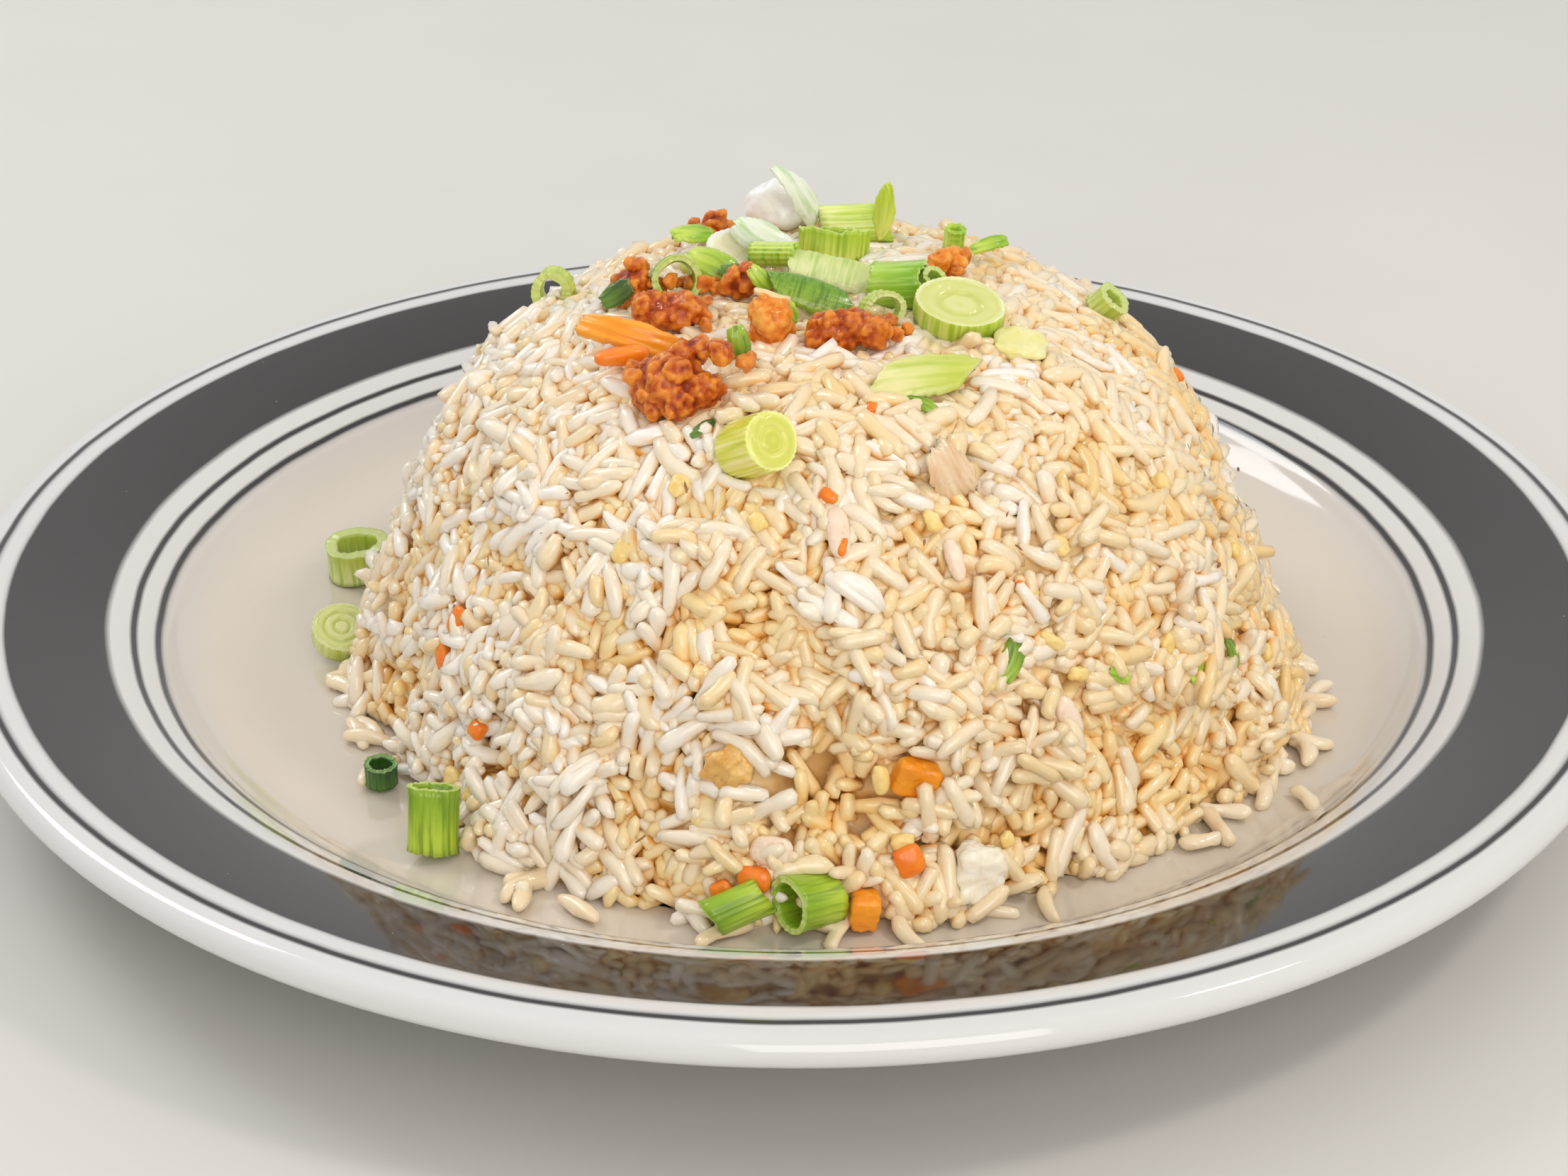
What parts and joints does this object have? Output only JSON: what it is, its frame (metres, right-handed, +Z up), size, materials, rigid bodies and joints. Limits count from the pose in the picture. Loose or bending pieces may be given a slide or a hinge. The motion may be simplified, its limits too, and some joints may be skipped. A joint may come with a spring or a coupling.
{
  "type": "fried rice plate",
  "caption": "Moulded mound of fried rice topped with cut scallion, fried garlic crumbs and carrot, on a round diner plate with dark bands.",
  "frame": {"origin": "on the surface the plate stands on, under the centre of the plate", "axes": "+Z up; -Y towards the side the camera sees, +X to its right"},
  "size_m": [0.2666, 0.2666, 0.0841],
  "materials": {
    "glazed_plate": "glossy ivory and white glaze with near-black bands and pinstripes",
    "cooked_rice": "moist cooked grains with a thin film of oil",
    "pale_scallion": "moist cut stem, pale yellow-green",
    "green_scallion": "moist cut leaf, bright green",
    "deep_green_scallion": "moist cut leaf, dark green",
    "white_scallion": "moist white stem base, slightly clear",
    "cooked_onion": "soft cooked onion, slightly clear",
    "fried_egg": "golden fried crumb",
    "fried_garlic": "oily deep-fried crumb, red-brown",
    "amber_garlic": "oily fried crumb, amber",
    "cooked_carrot": "moist cut carrot"
  },
  "bodies": {
    "root": {"plate": "glazed_plate", "rice_heap": "cooked_rice", "yellow_green_stem": "pale_scallion", "ribbed_green_stem": "green_scallion", "folded_green_stem": "deep_green_scallion", "white_oval_stem": "white_scallion", "hollow_green_ring": "green_scallion", "arched_green_left": "green_scallion", "shoulder_green_right": "pale_scallion", "thick_ring_left": "pale_scallion", "dark_ring_left": "deep_green_scallion", "green_tube_left": "green_scallion", "green_tube_front": "green_scallion", "green_curl_front": "green_scallion", "oval_slice_right": "pale_scallion", "pale_slice_left": "pale_scallion", "rolled_slice_front": "pale_scallion", "curled_white_strip": "white_scallion", "pale_ribbed_slab": "pale_scallion", "dark_green_leaf": "deep_green_scallion", "slanted_green_slice": "pale_scallion", "light_green_fold": "green_scallion", "white_bulb_piece": "white_scallion", "clear_onion_right": "cooked_onion", "brown_onion_front": "cooked_onion", "golden_egg_front": "fried_egg", "pale_onion_front": "cooked_onion", "fried_cluster_large": "fried_garlic", "fried_cluster_left": "fried_garlic", "fried_cluster_middle": "fried_garlic", "fried_cluster_behind": "fried_garlic", "fried_piece_inner": "fried_garlic", "amber_piece": "amber_garlic", "fried_cluster_front": "fried_garlic", "fried_piece_right": "amber_garlic", "carrot_strip": "cooked_carrot", "carrot_chunk_front": "cooked_carrot", "carrot_chip_front": "cooked_carrot"}
  },
  "joints": []
}
